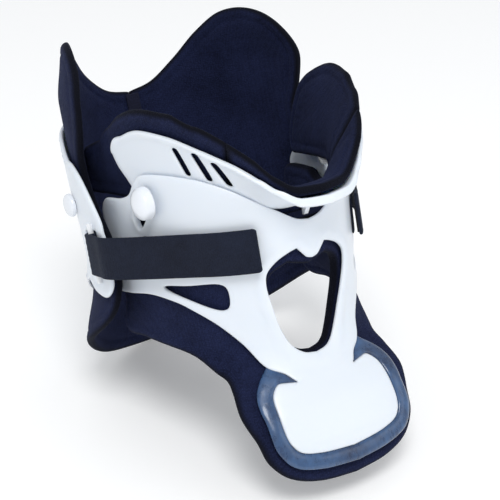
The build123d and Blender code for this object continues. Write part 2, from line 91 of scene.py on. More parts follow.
def monotone(table, column, at):
    # smooth value between measured ones, with no overshoot
    x = np.array([row[0] for row in table], float)
    y = np.array([row[column] for row in table], float)
    gaps, rises = np.diff(x), np.diff(y) / np.diff(x)
    slopes = np.zeros(len(x))
    slopes[0], slopes[-1] = rises[0], rises[-1]
    a, b = 2 * gaps[1:] + gaps[:-1], gaps[1:] + 2 * gaps[:-1]
    same = rises[:-1] * rises[1:] > 0
    slopes[1:-1][same] = (a + b)[same] / (a[same] / rises[:-1][same] + b[same] / rises[1:][same])
    at = np.clip(np.asarray(at, float), x[0], x[-1])
    i = np.clip(np.searchsorted(x, at) - 1, 0, len(gaps) - 1)
    t = (at - x[i]) / gaps[i]
    return (y[i] * (1 + 2 * t) * (1 - t) ** 2 + slopes[i] * gaps[i] * t * (1 - t) ** 2
            + y[i + 1] * t * t * (3 - 2 * t) + slopes[i + 1] * gaps[i] * t * t * (t - 1))


def halfAxes(height, facing):
    flare = collar["frontFlare"] if facing < 0 else collar["backFlare"]
    wide = collar["halfWidth"] + (collar["backGap"] if facing > 0 else 0)
    return wide + monotone(flare, 1, height), collar["halfDepth"] + monotone(flare, 2, height)


def wallPoint(u, z, offset, facing):
    # u is the way round in mm: an oval up to the side, then straight on
    wide, deep = halfAxes(z, facing)
    quarter = collar["turnRadius"] * math.pi / 2
    turn = np.clip(u, -quarter, quarter) / collar["turnRadius"]
    past = np.maximum(np.abs(u) - quarter, 0)
    x = (wide + offset) * np.sin(turn)
    y = facing * ((deep + offset) * np.cos(turn) - past)
    return np.stack([x, y, z + 0 * x], -1)


def atX(x, z, facing, offset=0.0):
    wide, deep = halfAxes(z, facing)
    return (collar["turnRadius"] * math.asin(max(-1, min(1, x / float(wide + offset)))), z)


def atY(y, z, facing, offset=0.0):
    wide, deep = halfAxes(z, facing)
    quarter = collar["turnRadius"] * math.pi / 2
    if y * facing <= 0:
        return (quarter + abs(y), z)
    return (collar["turnRadius"] * math.acos(max(-1, min(1, y * facing / float(deep + offset)))), z)


def smoothRun(points, step):
    # centripetal curve through the points, evenly stepped
    p = np.array(points, float)
    if len(p) == 2:
        count = max(2, int(np.linalg.norm(p[1] - p[0]) / step) + 1)
        return p[0] + (p[1] - p[0]) * np.linspace(0, 1, count)[:, None]
    p = np.vstack([2 * p[0] - p[1], p, 2 * p[-1] - p[-2]])
    out = []
    for a, b, c, d in zip(p, p[1:], p[2:], p[3:]):
        t0 = 0.0
        t1 = t0 + max(np.linalg.norm(b - a), 1e-6) ** 0.5
        t2 = t1 + max(np.linalg.norm(c - b), 1e-6) ** 0.5
        t3 = t2 + max(np.linalg.norm(d - c), 1e-6) ** 0.5
        t = np.linspace(t1, t2, max(2, int(np.linalg.norm(c - b) / step) + 1), endpoint=False)[:, None]
        a1 = (t1 - t) / (t1 - t0) * a + (t - t0) / (t1 - t0) * b
        a2 = (t2 - t) / (t2 - t1) * b + (t - t1) / (t2 - t1) * c
        a3 = (t3 - t) / (t3 - t2) * c + (t - t2) / (t3 - t2) * d
        b1 = (t2 - t) / (t2 - t0) * a1 + (t - t0) / (t2 - t0) * a2
        b2 = (t3 - t) / (t3 - t1) * a2 + (t - t1) / (t3 - t1) * a3
        out.append((t2 - t) / (t2 - t1) * b1 + (t - t1) / (t2 - t1) * b2)
    out.append(p[-2][None])
    return np.vstack(out)


def loopOf(runs, step):
    # a closed outline from smooth runs that meet at sharp corners
    parts = [smoothRun(run, step)[:-1] for run in runs]
    loop = np.vstack(parts)
    gaps = np.linalg.norm(np.diff(np.vstack([loop, loop[:1]]), axis=0), axis=1)
    loop = loop[gaps > 0.05]
    spun = np.vstack([loop, loop[:1]])
    along = np.concatenate([[0], np.cumsum(np.linalg.norm(np.diff(spun, axis=0), axis=1))])
    count = max(8, int(along[-1] / step))
    at = np.linspace(0, along[-1], count, endpoint=False)
    return np.stack([np.interp(at, along, spun[:, 0]), np.interp(at, along, spun[:, 1])], -1)


def roundLoop(points, step):
    closed = list(points) + list(points[:3])
    run = smoothRun(closed, step)
    start = np.argmin(np.linalg.norm(run - np.array(points[1]), axis=1))
    tail = run[start + 3:]
    end = start + 3 + np.argmin(np.linalg.norm(tail - np.array(points[1]), axis=1))
    return loopOf([run[start:end + 1]], step)


def mirrorLoop(half):
    # half an outline from the middle line out and back, made whole
    half = np.array(half, float)
    other = half[::-1] * [-1, 1]
    return np.vstack([half, other[1:-1]])


def area(loop):
    nxt = np.roll(loop, -1, axis=0)
    return 0.5 * np.sum(loop[:, 0] * nxt[:, 1] - nxt[:, 0] * loop[:, 1])


def distanceTo(points, loop):
    nxt = np.roll(loop, -1, axis=0)
    best = np.full(len(points), 1e9)
    run = nxt - loop
    size = np.maximum((run ** 2).sum(1), 1e-12)
    for start in range(0, len(points), 1500):
        p = points[start:start + 1500]
        rel = p[:, None] - loop[None]
        t = np.clip((rel * run).sum(2) / size, 0, 1)
        near = loop[None] + t[..., None] * run
        best[start:start + 1500] = np.sqrt(((p[:, None] - near) ** 2).sum(2)).min(1)
    return best


def within(points, loop):
    x, y = points[:, 0:1], points[:, 1:2]
    a, b = loop, np.roll(loop, -1, axis=0)
    rise = np.where(b[:, 1] == a[:, 1], 1e-12, b[:, 1] - a[:, 1])
    crossing = (b[:, 0] - a[:, 0]) * (y - a[:, 1]) / rise + a[:, 0]
    crosses = ((a[:, 1] > y) != (b[:, 1] > y)) & (x < crossing)
    return crosses.sum(1) % 2 == 1


def makePiece(name, verts, faces):
    mesh = bpy.data.meshes.new(name)
    mesh.from_pydata([tuple(v) for v in verts], [], faces)
    made = bmesh.new()
    made.from_mesh(mesh)
    bmesh.ops.recalc_face_normals(made, faces=made.faces)
    made.to_mesh(mesh)
    made.free()
    mesh.polygons.foreach_set("use_smooth", [True] * len(mesh.polygons))
    piece = bpy.data.objects.new(name, mesh)
    bpy.context.scene.collection.objects.link(piece)
    return piece


def makePlate(name, outer, holes, surface, profile, spacing, rings):
    # A sheet with two faces that meet in a rounded edge. surface(u, v, offset) places a point;
    # profile(u, v, distances) gives the two faces' offsets from the distance to each outline.
    loops = [outer if area(outer) > 0 else outer[::-1]]
    loops += [hole if area(hole) < 0 else hole[::-1] for hole in holes]
    points, edges = [], []
    for loop in loops:
        base = len(points)
        points += [tuple(p) for p in loop]
        edges += [(base + i, base + (i + 1) % len(loop)) for i in range(len(loop))]
    rim = len(points)
    extra = []
    for loop in loops:
        nxt, prv = np.roll(loop, -1, axis=0), np.roll(loop, 1, axis=0)
        tangent = nxt - prv
        tangent /= np.maximum(np.linalg.norm(tangent, axis=1, keepdims=True), 1e-9)
        inward = np.stack([-tangent[:, 1], tangent[:, 0]], -1)
        for ring in rings:
            moved = loop + inward * ring
            near = np.min([distanceTo(moved, other) for other in loops], axis=0)
            extra.append(moved[near > ring * 0.93])
    low, high = loops[0].min(0), loops[0].max(0)
    rows = np.arange(low[1], high[1], spacing * 0.87)
    grid = []
    for k, v in enumerate(rows):
        across = np.arange(low[0] + (k % 2) * spacing / 2, high[0], spacing)
        grid.append(np.stack([across, np.full(len(across), v)], -1))
    grid = np.vstack(grid)
    near = np.min([distanceTo(grid, loop) for loop in loops], axis=0)
    extra.append(grid[near > rings[-1] + spacing * 0.55])
    extra = np.vstack(extra)
    keep = within(extra, loops[0])
    for hole in loops[1:]:
        keep &= ~within(extra, hole)
    points += [tuple(p) for p in extra[keep]]
    flat, _, tris, origVerts, _, _ = geometry.delaunay_2d_cdt(
        [Vector(p) for p in points], edges, [], 0, 1e-5)
    flat = np.array([tuple(p) for p in flat])
    tris = np.array([list(t) for t in tris])
    centre = flat[tris].mean(1)
    keep = within(centre, loops[0])
    for hole in loops[1:]:
        keep &= ~within(centre, hole)
    tris = tris[keep]
    onRim = np.zeros(len(flat), bool)
    for new, olds in enumerate(origVerts):
        onRim[new] = any(old < rim for old in olds)
    distances = np.stack([distanceTo(flat, loop) for loop in loops], 0)
    distances[:, onRim] = np.where(distances[:, onRim] < 1e-3, 0, distances[:, onRim])
    top, bottom = profile(flat[:, 0], flat[:, 1], distances)
    middle = (top + bottom) / 2
    top = np.where(onRim, middle, top)
    upper = surface(flat[:, 0], flat[:, 1], top)
    lower = surface(flat[:, 0], flat[:, 1], bottom)
    used = np.unique(tris)
    second = {}
    nearest = distances.min(0)
    border = list(nearest)
    verts = [upper[i] for i in range(len(flat))]
    for i in used:
        if onRim[i]:
            second[i] = i
        else:
            second[i] = len(verts)
            verts.append(lower[i])
            border.append(nearest[i])
    faces = [tuple(int(i) for i in t) for t in tris]
    faces += [tuple(int(second[i]) for i in reversed(t)) for t in tris]
    number = {}
    kept, keptBorder = [], []
    for face in faces:
        for i in face:
            if i not in number:
                number[i] = len(kept)
                kept.append(verts[i])
                keptBorder.append(float(border[i]))
    faces = [tuple(number[i] for i in face) for face in faces]
    piece = makePiece(name, toRow(np.array(kept)), faces)
    piece.data.attributes.new("border", "FLOAT", "POINT").data.foreach_set("value", keptBorder)
    return piece


def roundEdge(distance, radius):
    # 0 at the very edge, 1 past the radius, round between
    t = np.clip(distance / radius, 0, 1)
    return np.sqrt(np.clip(1 - (1 - t) ** 2, 0, 1))


def ripple(u, v, seeds, size):
    # gentle unevenness from a few long waves
    total = 0
    for k, (a, b, c) in enumerate(seeds):
        total = total + np.sin(u * a / size + v * b / size + c)
    return total / len(seeds)


unevenSeeds = [(1.0, 0.3, 0.4), (-0.5, 1.1, 2.1), (0.8, -0.9, 4.0), (0.25, 0.75, 5.2)]


def nodeGroup(name, inputs, outputs):
    group = bpy.data.node_groups.new(name, "ShaderNodeTree")
    for label, kind, value in inputs:
        made = group.interface.new_socket(label, in_out="INPUT", socket_type=kind)
        made.default_value = value
    for label, kind in outputs:
        group.interface.new_socket(label, in_out="OUTPUT", socket_type=kind)
    return group, group.nodes.new("NodeGroupInput"), group.nodes.new("NodeGroupOutput")


def link(tree, source, target):
    tree.links.new(source, target)


def mathNode(tree, operation, a, b=None, clamp=False):
    node = tree.nodes.new("ShaderNodeMath")
    node.operation = operation
    node.use_clamp = clamp
    for index, value in enumerate([a] if b is None else [a, b]):
        if isinstance(value, (int, float)):
            node.inputs[index].default_value = value
        else:
            tree.links.new(value, node.inputs[index])
    return node.outputs[0]


def mixColor(tree, factor, a, b, blend="MIX"):
    node = tree.nodes.new("ShaderNodeMix")
    node.data_type = "RGBA"
    node.blend_type = blend
    for socket, value in ((node.inputs[0], factor), (node.inputs[6], a), (node.inputs[7], b)):
        if isinstance(value, (int, float, tuple)):
            socket.default_value = value
        else:
            tree.links.new(value, socket)
    return node.outputs[2]


def noiseNode(tree, vector, scale, detail=4.0, roughness=0.5):
    node = tree.nodes.new("ShaderNodeTexNoise")
    node.inputs["Detail"].default_value = detail
    node.inputs["Roughness"].default_value = roughness
    if isinstance(scale, (int, float)):
        node.inputs["Scale"].default_value = scale
    else:
        tree.links.new(scale, node.inputs["Scale"])
    tree.links.new(vector, node.inputs["Vector"])
    return node.outputs["Fac"]


def rampNode(tree, value, low, high):
    node = tree.nodes.new("ShaderNodeMapRange")
    node.inputs["From Min"].default_value = low
    node.inputs["From Max"].default_value = high
    tree.links.new(value, node.inputs["Value"])
    return node.outputs["Result"]


def knitGroup():
    # fine knit face: rows of loops, fuzz and slow colour drift
    group, into, out = nodeGroup("knitFace", [
        ("Light", "NodeSocketColor", (0.03, 0.036, 0.09, 1)),
        ("Dark", "NodeSocketColor", (0.008, 0.01, 0.03, 1)),
        ("Loop Scale", "NodeSocketFloat", 900.0), ("Fuzz", "NodeSocketFloat", 0.5)],
        [("Color", "NodeSocketColor"), ("Height", "NodeSocketFloat"), ("Roughness", "NodeSocketFloat")])
    place = group.nodes.new("ShaderNodeTexCoord").outputs["Object"]
    cells = group.nodes.new("ShaderNodeTexVoronoi")
    link(group, place, cells.inputs["Vector"])
    link(group, into.outputs["Loop Scale"], cells.inputs["Scale"])
    cells.inputs["Randomness"].default_value = 0.55
    fuzz = noiseNode(group, place, 2600.0, 3.0, 0.7)
    drift = noiseNode(group, place, 38.0, 4.0, 0.6)
    blotch = noiseNode(group, place, 240.0, 5.0, 0.65)
    spread = mathNode(group, "MULTIPLY", cells.outputs["Distance"], 1.4)
    loops = mathNode(group, "SUBTRACT", 1.0, spread, clamp=True)
    height = mathNode(group, "ADD", loops, mathNode(group, "MULTIPLY", fuzz, into.outputs["Fuzz"]))
    tone = mathNode(group, "ADD", mathNode(group, "MULTIPLY", loops, 0.35),
                    mathNode(group, "ADD", mathNode(group, "MULTIPLY", drift, 0.6),
                             mathNode(group, "MULTIPLY", blotch, 0.35)))
    color = mixColor(group, rampNode(group, tone, 0.35, 1.0), into.outputs["Dark"], into.outputs["Light"])
    link(group, color, out.inputs["Color"])
    link(group, height, out.inputs["Height"])
    rough = mathNode(group, "ADD", 0.78, mathNode(group, "MULTIPLY", fuzz, 0.2))
    link(group, rough, out.inputs["Roughness"])
    return group


def mouldedGroup():
    # injection-moulded plastic: orange peel, faint flow marks, rubbed edges and painted bluish-grey shade in
    # concave corners
    group, into, out = nodeGroup("mouldedPlastic", [
        ("Body", "NodeSocketColor", (0.85, 0.88, 0.93, 1)), ("Worn", "NodeSocketColor", (0.9, 0.9, 0.9, 1)),
        ("Peel Scale", "NodeSocketFloat", 260.0), ("Base Roughness", "NodeSocketFloat", 0.3)],
        [("Color", "NodeSocketColor"), ("Height", "NodeSocketFloat"), ("Roughness", "NodeSocketFloat")])
    place = group.nodes.new("ShaderNodeTexCoord").outputs["Object"]
    peel = noiseNode(group, place, into.outputs["Peel Scale"], 3.0, 0.5)
    scuffAndShadeNoise = noiseNode(group, place, 60.0, 6.0, 0.65)
    bend = group.nodes.new("ShaderNodeNewGeometry").outputs["Pointiness"]
    edge = rampNode(group, bend, 0.52, 0.62)
    # painted shade: concave corners and creases are darkened towards bluish grey, mottled by the scuff noise
    creaseShadeMask = rampNode(group, bend, 0.48, 0.40)
    rubbed = mathNode(group, "MULTIPLY", edge, 0.5)
    color = mixColor(group, rubbed, into.outputs["Body"], into.outputs["Worn"])
    shade = mathNode(group, "MULTIPLY", creaseShadeMask, mathNode(group, "MULTIPLY", scuffAndShadeNoise, 0.4))
    color = mixColor(group, shade, color, (0.45, 0.5, 0.58, 1))
    color = mixColor(group, mathNode(group, "MULTIPLY", rampNode(group, scuffAndShadeNoise, 0.45, 0.8), 0.05), color,
                     (0.62, 0.68, 0.76, 1))
    link(group, color, out.inputs["Color"])
    link(group, peel, out.inputs["Height"])
    rough = mathNode(group, "ADD", into.outputs["Base Roughness"], mathNode(group, "MULTIPLY", scuffAndShadeNoise, 0.14))
    link(group, rough, out.inputs["Roughness"])
    return group


groups = {"knit": knitGroup(), "moulded": mouldedGroup()}


def newMaterial(name, groupName, values, settings, bump):
    made = bpy.data.materials.new(name)
    made.use_nodes = True
    tree = made.node_tree
    shader = tree.nodes["Principled BSDF"]
    effect = tree.nodes.new("ShaderNodeGroup")
    effect.node_tree = groups[groupName]
    for label, value in values.items():
        effect.inputs[label].default_value = value
    for label, value in settings.items():
        shader.inputs[label].default_value = value
    link(tree, effect.outputs["Color"], shader.inputs["Base Color"])
    link(tree, effect.outputs["Roughness"], shader.inputs["Roughness"])
    relief = tree.nodes.new("ShaderNodeBump")
    relief.inputs["Strength"].default_value = bump["strength"]
    relief.inputs["Distance"].default_value = bump["depth"]
    link(tree, effect.outputs["Height"], relief.inputs["Height"])
    link(tree, relief.outputs["Normal"], shader.inputs["Normal"])
    return made


def navyKnit():
    made = newMaterial("navyKnit", "knit", {
        "Light": (0.017, 0.024, 0.075, 1), "Dark": (0.004, 0.006, 0.022, 1),
        "Loop Scale": 950.0, "Fuzz": 0.6},
        {"Sheen Weight": 0.06, "Sheen Roughness": 0.45, "Sheen Tint": (0.3, 0.36, 0.7, 1),
         "Specular IOR Level": 0.12}, {"strength": 0.55, "depth": 0.0007})
    tree = made.node_tree
    shader = tree.nodes["Principled BSDF"]
    knit = shader.inputs["Base Color"].links[0].from_socket
    border = tree.nodes.new("ShaderNodeAttribute")
    border.attribute_name = "border"
    # the cut foam edge is near black
    color = mixColor(tree, rampNode(tree, border.outputs["Fac"], 0.6, 2.6), (0.0025, 0.003, 0.007, 1), knit)
    link(tree, color, shader.inputs["Base Color"])
    return made


def strapPile():
    return newMaterial("strapPile", "knit", {
        "Light": (0.013, 0.019, 0.042, 1), "Dark": (0.004, 0.006, 0.015, 1),
        "Loop Scale": 1500.0, "Fuzz": 0.9},
        {"Sheen Weight": 0.1, "Sheen Roughness": 0.4, "Sheen Tint": (0.4, 0.45, 0.55, 1),
         "Specular IOR Level": 0.25}, {"strength": 0.6, "depth": 0.0005})


def hookTape():
    return newMaterial("hookTape", "knit", {
        "Light": (0.03, 0.03, 0.035, 1), "Dark": (0.004, 0.004, 0.006, 1), "Loop Scale": 1100.0, "Fuzz": 0.2},
        {"Specular IOR Level": 0.5}, {"strength": 0.9, "depth": 0.0008})


def bindingTape():
    return newMaterial("bindingTape", "knit", {
        "Light": (0.012, 0.015, 0.045, 1), "Dark": (0.003, 0.004, 0.014, 1),
        "Loop Scale": 1700.0, "Fuzz": 0.3},
        {"Specular IOR Level": 0.3}, {"strength": 0.6, "depth": 0.0004})


def whiteShell():
    return newMaterial("whiteShell", "moulded", {
        "Body": (0.74, 0.79, 0.86, 1), "Worn": (0.93, 0.94, 0.95, 1),
        "Peel Scale": 330.0, "Base Roughness": 0.27},
        {"Subsurface Weight": 0.12, "Subsurface Radius": (0.004, 0.005, 0.007), "Subsurface Scale": 0.6,
         "Coat Weight": 0.15, "Coat Roughness": 0.2, "Specular IOR Level": 0.5},
        {"strength": 0.05, "depth": 0.0004})


def rivetWhite():
    return newMaterial("rivetWhite", "moulded", {
        "Body": (0.80, 0.83, 0.88, 1), "Worn": (0.95, 0.95, 0.95, 1),
        "Peel Scale": 420.0, "Base Roughness": 0.16},
        {"Coat Weight": 0.4, "Coat Roughness": 0.1}, {"strength": 0.03, "depth": 0.0003})


def washerPlastic():
    return newMaterial("washerPlastic", "moulded", {
        "Body": (0.72, 0.75, 0.78, 1), "Worn": (0.9, 0.9, 0.9, 1),
        "Peel Scale": 500.0, "Base Roughness": 0.42},
        {}, {"strength": 0.06, "depth": 0.0003})


def softEdgeBlue():
    made = bpy.data.materials.new("softEdgeBlue")
    made.use_nodes = True
    tree = made.node_tree
    shader = tree.nodes["Principled BSDF"]
    place = tree.nodes.new("ShaderNodeTexCoord").outputs["Object"]
    stretch = tree.nodes.new("ShaderNodeMapping")
    stretch.inputs["Scale"].default_value = (1.0, 1.0, 0.35)
    link(tree, place, stretch.inputs["Vector"])
    streak = noiseNode(tree, stretch.outputs["Vector"], 150.0, 6.0, 0.7)
    broad = noiseNode(tree, place, 45.0, 3.0, 0.5)
    tone = mathNode(tree, "ADD", mathNode(tree, "MULTIPLY", streak, 0.7),
                    mathNode(tree, "MULTIPLY", broad, 0.5))
    color = mixColor(tree, rampNode(tree, tone, 0.4, 0.85), (0.006, 0.018, 0.06, 1), (0.045, 0.12, 0.27, 1))
    link(tree, color, shader.inputs["Base Color"])
    rough = mathNode(tree, "ADD", 0.16, mathNode(tree, "MULTIPLY", streak, 0.25))
    link(tree, rough, shader.inputs["Roughness"])
    shader.inputs["Coat Weight"].default_value = 0.5
    shader.inputs["Coat Roughness"].default_value = 0.12
    shader.inputs["Subsurface Weight"].default_value = 0.08
    shader.inputs["Subsurface Radius"].default_value = (0.001, 0.002, 0.004)
    relief = tree.nodes.new("ShaderNodeBump")
    relief.inputs["Strength"].default_value = 0.35
    relief.inputs["Distance"].default_value = 0.0008
    link(tree, streak, relief.inputs["Height"])
    link(tree, relief.outputs["Normal"], shader.inputs["Normal"])
    return made


finishes = {"pad_fabric": navyKnit(), "strap_web": strapPile(), "hook_tape": hookTape(),
            "loop_tape": strapPile(), "binding": bindingTape(),
            "white_shell": whiteShell(), "rivet_white": rivetWhite(),
            "washer_plastic": washerPlastic(), "bar_plastic": rivetWhite(), "soft_edge": softEdgeBlue()}
print("materials made")


def finishPiece(piece, body, slot, nodes):
    piece.data.materials.append(finishes[slot])
    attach(piece, body)
    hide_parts(*nodes)
    return piece


front = -1
back = 1
shell = {"spacing": 2.6, "edgeStep": 1.3, "edge": 1.1, "rings": (0.12, 0.4, 1.1), "throatBead": 0.9,
         "beadAt": 4.2, "beadWidth": 1.3, "keyLip": 1.5, "keyLipAt": 1.6, "keyLipWidth": 1.7,
         "keyShare": 0.7, "plateRidge": 0.35, "ridgeAt": 19, "ridgeWidth": 0.8, "ridgeSlope": 0.72,
         "ridgeFoot": 25, "ridgeTop": 36}
plateHalf = [(0, -3), (20, -1.2), (30, 1.5), (34.5, 7), (35.3, 22), (33, 31), (28.5, 34.8), (24, 34.6),
             (18, 33.6)]
throatHalf = [(0, 44), (7, 45.5), (12.5, 50), (17, 58.5), (22.5, 77), (24.5, 87), (24, 93), (19.5, 98.5),
              (12, 102.5), (8.5, 103.5), (5.5, 100), (3, 97.5), (0, 96.7)]
sideHole = [(-34, 88.5), (-50, 89.7), (-66.5, 90), (-68.8, 87.5), (-67.6, 77.5), (-65, 75.8), (-50, 81.5)]
keyHole = [(-31, 127), (-26, 129.5), (-23.5, 126.5), (-25, 120.5), (-28, 122.5)]


def throatLoop(points, step, offset=0.0):
    sharp = [atX(x, z, front, offset) for x, z in points]
    top = max(range(len(points)), key=lambda i: points[i][1])
    runs = [sharp[:top + 1], sharp[top:]]
    half = np.vstack([smoothRun(run, step)[:-1] for run in runs if len(run) > 1] + [[sharp[-1]]])
    return mirrorLoop(half)


def sideLoop(points, step, side=1):
    loop = roundLoop([atY(y, z, front) for y, z in points], step)
    return loop * [side, 1]


def frontShell():
    lower = [atX(x, z, front) for x, z in plateHalf]
    rise = [atX(x, z, front) for x, z in [(18, 33.6), (22, 38), (29.5, 43), (37, 57), (45, 68), (53, 77)]]
    rise += [atY(y, z, front) for y, z in [(-42, 80), (-24, 83.5), (0, 82), (11, 82), (15, 85), (15.5, 92),
                                           (15.5, 120), (14.5, 128), (8, 134), (-11, 135.8), (-20, 138.5),
                                           (-27, 145.5), (-33, 149), (-43, 150)]]
    rise += [atX(x, z, front) for x, z in [(49, 147), (39, 141), (31, 135), (22, 128.5), (17, 125.4),
                                           (7, 119), (0, 117.4)]]
    half = np.vstack([smoothRun(lower, shell["edgeStep"])[:-1], smoothRun(rise, shell["edgeStep"])])
    outer = mirrorLoop(half)
    holes = [throatLoop(throatHalf, shell["edgeStep"])]
    holes += [sideLoop(sideHole, shell["edgeStep"], side) for side in (1, -1)]
    holes += [sideLoop(keyHole, shell["edgeStep"] * shell["keyShare"], side) for side in (1, -1)]

    def profile(u, v, d):
        rim = roundEdge(d.min(0), shell["edge"])
        bead = shell["throatBead"] * np.exp(-((d[1] - shell["beadAt"]) / shell["beadWidth"]) ** 2)
        toKey = np.minimum(d[4], d[5])
        lip = shell["keyLip"] * np.exp(-((toKey - shell["keyLipAt"]) / shell["keyLipWidth"]) ** 2)
        # a low ridge inside the chest plate's border
        reach = np.maximum(np.abs(u) * shell["ridgeSlope"], shell["ridgeFoot"] - v)
        ridge = shell["plateRidge"] * np.exp(-((reach - shell["ridgeAt"]) / shell["ridgeWidth"]) ** 2)
        lip = lip + ridge * (v < shell["ridgeTop"])
        half = collar["wall"] / 2
        top = -half + half * rim + (bead + lip) * rim
        return top, -half - half * rim

    piece = makePlate("frontShell", outer, holes, lambda u, v, o: wallPoint(u, v, o, front), profile,
                      shell["spacing"], shell["rings"])
    return finishPiece(piece, "front_half", "white_shell", ["front_shell"])


frontShell()
print("front shell made")

softEdge = {"spacing": 1.8, "edgeStep": 1.2, "radius": 2.6, "rings": (0.25, 0.8, 1.6, 2.6), "proud": 0.8,
            "wrinkle": 0.35, "wrinkleSize": 2.2}
edgeHalf = [(0, -11), (22, -9), (35, -5), (42, 4), (43, 20), (41, 32), (35, 38.5), (29.5, 43)]


def chestSoftEdge():
    outside = [atX(x, z, front) for x, z in edgeHalf]
    inside = [atX(x, z, front) for x, z in [*reversed(plateHalf)]]
    corner = [atX(x, z, front) for x, z in [(29.5, 43), (22, 38), (18, 33.6)]]
    step = softEdge["edgeStep"]
    half = np.vstack([smoothRun(outside, step)[:-1], smoothRun(corner, step)[:-1], smoothRun(inside, step)])
    loop = mirrorLoop(half)

    def profile(u, v, d):
        rim = roundEdge(d.min(0), softEdge["radius"])
        wrinkle = softEdge["wrinkle"] * ripple(u, v, unevenSeeds, softEdge["wrinkleSize"]) * rim
        thick = collar["wall"] + softEdge["proud"]
        middle = softEdge["proud"] - thick / 2
        return middle + thick / 2 * rim + wrinkle, middle - thick / 2 * rim

    piece = makePlate("chestSoftEdge", loop, [], lambda u, v, o: wallPoint(u, v, o, front), profile,
                      softEdge["spacing"], softEdge["rings"])
    return finishPiece(piece, "front_half", "soft_edge", ["chest_soft_edge"])


chestSoftEdge()
print("soft edge made")

pad = {"spacing": 3.0, "edgeStep": 1.8, "radius": 3.2, "rings": (0.3, 1.0, 2.0, 3.2, 5.2, 6.4, 7.8),
       "pressAt": 6.4, "pressWidth": 0.9, "pressDepth": 0.9, "pressOutside": 0.4,
       "thinEdge": 0.9, "thinReach": 5.5, "trim": 0.15,
       "uneven": 0.35, "unevenSize": 9.0, "sink": 0.2, "sinkSize": 11,
       "gullet": 0.99, "gulletDrop": 0.97, "gulletMiddle": 71, "fill": 0.8}


def padProfile(outside, thick):
    # a foam sheet with a pressed line near its border, thinner towards the edge
    def profile(u, v, d):
        near = d.min(0)
        rim = roundEdge(near, pad["radius"])
        press = pad["pressDepth"] * np.exp(-((near - pad["pressAt"]) / pad["pressWidth"]) ** 2)
        thin = pad["thinEdge"] * np.exp(-(np.maximum(near - 1, 0) / pad["thinReach"]) ** 2)
        wave = pad["uneven"] * ripple(u, v, unevenSeeds, pad["unevenSize"]) * rim
        sink = pad["sink"] * (1 + ripple(v, u, unevenSeeds, pad["sinkSize"]))
        middle = outside - thick / 2
        top = middle + (thick / 2 - pad["trim"]) * rim - (press * pad["pressOutside"] + sink) * rim
        bottom = middle - (thick / 2 - pad["trim"]) * rim + (press + thin) * rim + np.abs(wave)
        return top, bottom
    return profile


def frontPad():
    off = -(collar["wall"] + collar["padGap"])
    run = [atX(x, z, front, off) for x, z in [(0, -19), (22, -17), (37, -12), (46.5, -2), (50, 12),
                                              (49.5, 36)]]
    run += [atY(y, z, front, off) for y, z in [(-60, 43), (-48, 50), (-38, 53.5), (-10, 58), (8, 58.5),
                                               (13, 63), (13, 80), (13, 118), (9, 125.3), (-18, 125.6)]]
    dip = [atY(y, z, front, off) for y, z in [(-18, 125.6), (-23.5, 121.2), (-44.5, 121.2), (-48, 129.5),
                                              (-54, 128.5), (-62, 122.8), (-74, 118.2)]]
    top = [dip[-1], atX(20, 117.4, front, off), atX(0, 117.4, front, off)]
    parts = [smoothRun(part, pad["edgeStep"])[:-1] for part in (run, dip)]
    half = np.vstack(parts + [smoothRun(top, pad["edgeStep"])])
    middle = pad["gulletMiddle"]
    gullet = [(x * pad["gullet"], middle + (z - middle) * pad["gulletDrop"]) for x, z in throatHalf[:5]]
    gullet += [(22.6, 86), (20, 91), (12, 95.5), (6, 94), (0, 92.5)]
    hole = throatLoop(gullet, pad["edgeStep"], off)
    piece = makePlate("frontPad", mirrorLoop(half), [hole], lambda u, v, o: wallPoint(u, v, o, front),
                      padProfile(off, collar["frontPad"]), pad["spacing"], pad["rings"])
    finishPiece(piece, "front_half", "pad_fabric", ["front_pad"])


frontPad()
print("front pad made")


chin = {"degree": 1.5, "spacing": 2.4, "edgeStep": 1.3, "edge": 1.25, "rings": (0.12, 0.45, 1.25),
        "soften": 3.5, "lip": 0.7, "frontLip": 2.2, "frontLipReach": 26, "lipWidth": 2.4, "skirt": 9.0,
        "shoulderDrop": 0.5, "rearTurn": 113, "rearRun": 9, "slotWidth": 3.0, "slotStep": 0.8}


def polarRadius(angle, height, offset):
    wide, deep = halfAxes(height, front)
    turn = np.radians(np.abs(angle))
    oval = 1 / np.sqrt((np.sin(turn) / (wide + offset)) ** 2 + (np.cos(turn) / (deep + offset)) ** 2)
    return np.where(np.abs(angle) > 90, (wide + offset) / np.maximum(np.sin(turn), 0.3), oval)


def chinLine(angle, low):
    # foot, shoulder and rim of the support at an angle round from the chin, as (radius, height)
    a = np.abs(angle)
    rimRadius, rimHeight, edgeHeight = (monotone(collar["chinSections"], k, a) for k in (1, 2, 3))
    offset = -(collar["wall"] + collar["nest"])
    top = edgeHeight - chin["shoulderDrop"]
    rearTurn = chin["rearTurn"]
    shoulder = polarRadius(np.minimum(a, rearTurn), top, offset)
    shoulder = shoulder + (rimRadius - shoulder) * np.clip((a - rearTurn) / chin["rearRun"], 0, 1)
    foot = np.minimum(polarRadius(a, low, offset), shoulder)
    return (foot, low + 0 * a), (shoulder, top), (rimRadius, rimHeight)


